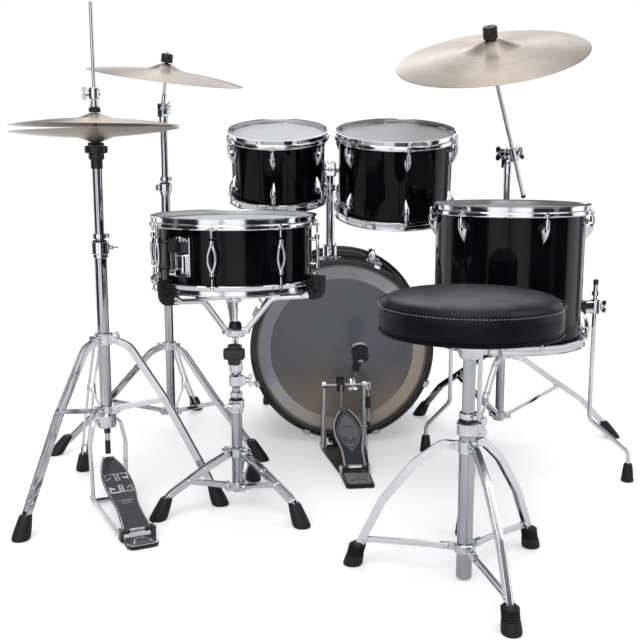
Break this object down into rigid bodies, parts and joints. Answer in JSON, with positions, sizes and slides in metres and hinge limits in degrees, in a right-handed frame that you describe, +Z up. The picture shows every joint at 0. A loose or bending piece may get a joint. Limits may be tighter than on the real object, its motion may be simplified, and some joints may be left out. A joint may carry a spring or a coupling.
{
  "type": "acoustic drum kit",
  "caption": "Acoustic drum kit laid out for playing: bass drum with pedal, mounted toms, floor tom, snare on its stand, hi-hat, crash and ride cymbals on stands, and a round throne.",
  "frame": {"origin": "on the floor, under the middle of the kit's bounding box", "axes": "+X to the drummer's right, +Y from the drummer towards the bass drum, +Z up"},
  "size_m": [1.6696, 1.6036, 1.1834],
  "materials": {
    "black_wrap": "gloss black shell wrap",
    "black_hoop": "gloss black lacquered wood with a thin tan inlay",
    "clear_head": "translucent grey film",
    "front_head": "black film",
    "coated_head": "white coated film",
    "smooth_head": "translucent white film",
    "chrome": "polished chrome plate",
    "satin_steel": "satin zinc plate",
    "bronze": "lathed cymbal bronze, pale",
    "black_vinyl": "black vinyl upholstery",
    "charcoal_metal": "charcoal powder coat"
  },
  "bodies": {
    "kit": {"bass_shell": "black_wrap", "bass_batter_hoop": "black_hoop", "bass_front_hoop": "black_hoop", "bass_batter_head": "clear_head", "bass_front_head": "front_head", "floor_tom_shell": "black_wrap", "floor_tom_batter_hoop": "chrome", "floor_tom_bottom_hoop": "chrome", "floor_tom_batter_head": "smooth_head", "snare_stand_base": "chrome", "crash_stand_base": "chrome", "ride_stand_base": "chrome", "hihat_stand_base": "chrome", "throne_base_tube": "chrome", "kick_frame": "satin_steel"},
    "tom_holder": {"tom_holder": "chrome"},
    "small_tom": {"small_tom_shell": "black_wrap", "small_tom_batter_hoop": "chrome", "small_tom_bottom_hoop": "chrome", "small_tom_batter_head": "coated_head"},
    "large_tom": {"large_tom_shell": "black_wrap", "large_tom_batter_hoop": "chrome", "large_tom_bottom_hoop": "chrome", "large_tom_batter_head": "smooth_head"},
    "bass_spur_left": {"bass_spur_left": "chrome"},
    "bass_spur_right": {"bass_spur_right": "chrome"},
    "floor_tom_leg_right": {"floor_tom_leg_right": "chrome"},
    "floor_tom_leg_back": {"floor_tom_leg_back": "chrome"},
    "floor_tom_leg_front": {"floor_tom_leg_front": "chrome"},
    "snare_height_tube": {"snare_stand_height_tube": "chrome"},
    "snare": {"snare_basket": "chrome", "snare_shell": "black_wrap", "snare_batter_hoop": "chrome", "snare_bottom_hoop": "chrome", "snare_batter_head": "coated_head"},
    "throw_off_lever": {"throw_off_lever": "chrome"},
    "crash_height_tube": {"crash_height_tube": "chrome"},
    "crash_tilter": {"crash_tilter": "chrome"},
    "crash_cymbal": {"crash_cymbal": "bronze"},
    "ride_height_tube": {"ride_height_tube": "chrome"},
    "ride_tilter": {"ride_tilter": "chrome"},
    "ride_boom": {"ride_boom_arm": "chrome"},
    "ride_cymbal": {"ride_cymbal": "bronze"},
    "hihat_upper_tube": {"hihat_upper_tube": "chrome", "hihat_bottom_cymbal": "bronze"},
    "hihat_pull_rod": {"hihat_pull_rod": "chrome"},
    "hihat_clutch": {"hihat_clutch": "chrome", "hihat_top_cymbal": "bronze"},
    "hihat_footboard": {"hihat_footboard": "charcoal_metal"},
    "throne_seat_post": {"throne_seat_post": "chrome"},
    "throne_seat": {"throne_seat": "black_vinyl"},
    "throne_brace_collar": {"throne_brace_collar": "satin_steel"},
    "kick_footboard": {"kick_footboard": "charcoal_metal"},
    "kick_beater": {"kick_beater": "chrome"},
    "throne_leg_front": {"throne_leg_front": "satin_steel"},
    "throne_brace_front": {"throne_brace_front": "satin_steel"},
    "throne_leg_right": {"throne_leg_right": "satin_steel"},
    "throne_brace_right": {"throne_brace_right": "satin_steel"},
    "throne_leg_left": {"throne_leg_left": "satin_steel"},
    "throne_brace_left": {"throne_brace_left": "satin_steel"}
  },
  "joints": [
    {"name": "tom_holder_height", "type": "slide", "parent": "kit", "child": "tom_holder", "axis": [0, 0, 1], "range_m": [-0.04, 0.02]},
    {"name": "small_tom_tilt", "type": "hinge", "parent": "tom_holder", "child": "small_tom", "pos_m": [-0.10713, 0.45278, 0.792], "axis": [1, 0, 0], "range_deg": [-5, 10]},
    {"name": "large_tom_tilt", "type": "hinge", "parent": "tom_holder", "child": "large_tom", "pos_m": [0.05087, 0.45278, 0.792], "axis": [1, 0, 0], "range_deg": [-5, 10]},
    {"name": "bass_spur_left_fold", "type": "hinge", "parent": "kit", "child": "bass_spur_left", "pos_m": [-0.21174, 0.65978, 0.11223], "axis": [0.788, 0, 0.6157], "range_deg": [0, 95]},
    {"name": "bass_spur_right_fold", "type": "hinge", "parent": "kit", "child": "bass_spur_right", "pos_m": [0.20748, 0.65978, 0.11223], "axis": [0.788, 0, -0.6157], "range_deg": [0, 95]},
    {"name": "floor_tom_leg_right_height", "type": "slide", "parent": "kit", "child": "floor_tom_leg_right", "axis": [0, 0, 1], "range_m": [0, 0.1]},
    {"name": "floor_tom_leg_back_height", "type": "slide", "parent": "kit", "child": "floor_tom_leg_back", "axis": [0, 0, 1], "range_m": [0, 0.1]},
    {"name": "floor_tom_leg_front_height", "type": "slide", "parent": "kit", "child": "floor_tom_leg_front", "axis": [0, 0, 1], "range_m": [0, 0.1]},
    {"name": "snare_height", "type": "slide", "parent": "kit", "child": "snare_height_tube", "axis": [0, 0, 1], "range_m": [-0.01, 0.04]},
    {"name": "snare_tilt", "type": "hinge", "parent": "snare_height_tube", "child": "snare", "pos_m": [-0.26213, -0.17122, 0.384], "axis": [1, 0, 0], "range_deg": [-8, 12]},
    {"name": "throw_off", "type": "hinge", "parent": "snare", "child": "throw_off_lever", "pos_m": [-0.37294, -0.34854, 0.591], "axis": [0.848, -0.5299, 0], "range_deg": [0, 90]},
    {"name": "crash_height", "type": "slide", "parent": "kit", "child": "crash_height_tube", "axis": [0, 0, 1], "range_m": [-0.01, 0.15]},
    {"name": "crash_tilt", "type": "hinge", "parent": "crash_height_tube", "child": "crash_tilter", "pos_m": [-0.50513, 0.38578, 0.965], "axis": [0.6544, 0.7561, 0], "range_deg": [-12, 2]},
    {"name": "crash_sway", "type": "hinge", "parent": "crash_tilter", "child": "crash_cymbal", "pos_m": [-0.48984, 0.37246, 1.08277], "axis": [0.6544, 0.7561, 0], "range_deg": [-5, 5], "stiffness_Nm_per_rad": 5},
    {"name": "ride_height", "type": "slide", "parent": "kit", "child": "ride_height_tube", "axis": [0, 0, 1], "range_m": [0, 0.15]},
    {"name": "ride_boom_tilt", "type": "hinge", "parent": "ride_height_tube", "child": "ride_tilter", "pos_m": [0.46287, 0.37178, 0.838], "axis": [0.7804, -0.6252, 0], "range_deg": [-20, 0]},
    {"name": "ride_boom_reach", "type": "slide", "parent": "ride_tilter", "child": "ride_boom", "axis": [-0.3126, -0.3902, 0.866], "range_m": [-0.03, 0.05]},
    {"name": "ride_sway", "type": "hinge", "parent": "ride_boom", "child": "ride_cymbal", "pos_m": [0.38129, 0.23436, 1.13117], "axis": [0.8955, -0.445, 0], "range_deg": [-3, 3], "stiffness_Nm_per_rad": 14},
    {"name": "hihat_height", "type": "slide", "parent": "kit", "child": "hihat_upper_tube", "axis": [0, 0, 1], "range_m": [-0.05, 0]},
    {"name": "hihat_pedal", "type": "hinge", "parent": "kit", "child": "hihat_footboard", "pos_m": [-0.46793, -0.36011, 0.022], "axis": [-0.8996, -0.4368, 0], "range_deg": [0, 0.6]},
    {"name": "hihat_rod", "type": "slide", "parent": "kit", "child": "hihat_pull_rod", "axis": [0, 0, -1], "range_m": [0, 0.0027], "stiffness_N_per_m": 3000, "springref_m": -0.016},
    {"name": "hihat_clutch_height", "type": "slide", "parent": "hihat_pull_rod", "child": "hihat_clutch", "axis": [0, 0, 1], "range_m": [0, 0.08]},
    {"name": "throne_height", "type": "slide", "parent": "kit", "child": "throne_seat_post", "axis": [0, 0, 1], "range_m": [-0.09, 0.09]},
    {"name": "throne_seat_spin", "type": "hinge", "parent": "throne_seat_post", "child": "throne_seat", "pos_m": [0.22287, -0.55722, 0.5], "axis": [0, 0, 1], "continuous": true},
    {"name": "throne_leg_front_fold", "type": "hinge", "parent": "kit", "child": "throne_leg_front", "pos_m": [0.22894, -0.58352, 0.275], "axis": [0.9744, 0.225, 0], "range_deg": [0, 32]},
    {"name": "throne_leg_right_fold", "type": "hinge", "parent": "kit", "child": "throne_leg_right", "pos_m": [0.24262, -0.5388, 0.275], "axis": [-0.682, 0.7314, 0], "range_deg": [0, 32]},
    {"name": "throne_leg_left_fold", "type": "hinge", "parent": "kit", "child": "throne_leg_left", "pos_m": [0.19705, -0.54932, 0.275], "axis": [-0.2924, -0.9563, 0], "range_deg": [0, 32]},
    {"name": "throne_brace_collar_rise", "type": "slide", "parent": "kit", "child": "throne_brace_collar", "axis": [0, 0, 1], "range_m": [0, 0.103]},
    {"name": "throne_brace_front_fold", "type": "hinge", "parent": "throne_brace_collar", "child": "throne_brace_front", "pos_m": [0.23007, -0.5884, 0.066], "axis": [0.9744, 0.225, 0], "range_deg": [0, 78.1]},
    {"name": "throne_brace_right_fold", "type": "hinge", "parent": "throne_brace_collar", "child": "throne_brace_right", "pos_m": [0.24627, -0.53539, 0.066], "axis": [-0.682, 0.7314, 0], "range_deg": [0, 78.1]},
    {"name": "throne_brace_left_fold", "type": "hinge", "parent": "throne_brace_collar", "child": "throne_brace_left", "pos_m": [0.19227, -0.54786, 0.066], "axis": [-0.2924, -0.9563, 0], "range_deg": [0, 78.1]},
    {"name": "kick_pedal", "type": "hinge", "parent": "kit", "child": "kick_footboard", "pos_m": [0.02764, 0.06508, 0.022], "axis": [-0.9945, -0.1045, 0], "range_deg": [0, 14], "stiffness_Nm_per_rad": 6, "springref_deg": -6.88},
    {"name": "kick_beater_swing", "type": "hinge", "parent": "kit", "child": "kick_beater", "pos_m": [0.00287, 0.30078, 0.19], "axis": [-0.9945, -0.1045, 0], "range_deg": [0, 60.7]}
  ],
  "couplings": [
    {"joint": "kick_beater_swing", "follows": "kick_pedal", "ratio": 4.3},
    {"joint": "hihat_rod", "follows": "hihat_pedal", "m_per_rad": 0.24828},
    {"joint": "throne_leg_right_fold", "follows": "throne_leg_front_fold", "ratio": 1},
    {"joint": "throne_leg_left_fold", "follows": "throne_leg_front_fold", "ratio": 1},
    {"joint": "throne_brace_collar_rise", "follows": "throne_leg_front_fold", "m_per_rad": 0.18092},
    {"joint": "throne_brace_front_fold", "follows": "throne_leg_front_fold", "ratio": 2.4079},
    {"joint": "throne_brace_right_fold", "follows": "throne_leg_front_fold", "ratio": 2.4079},
    {"joint": "throne_brace_left_fold", "follows": "throne_leg_front_fold", "ratio": 2.4079}
  ]
}
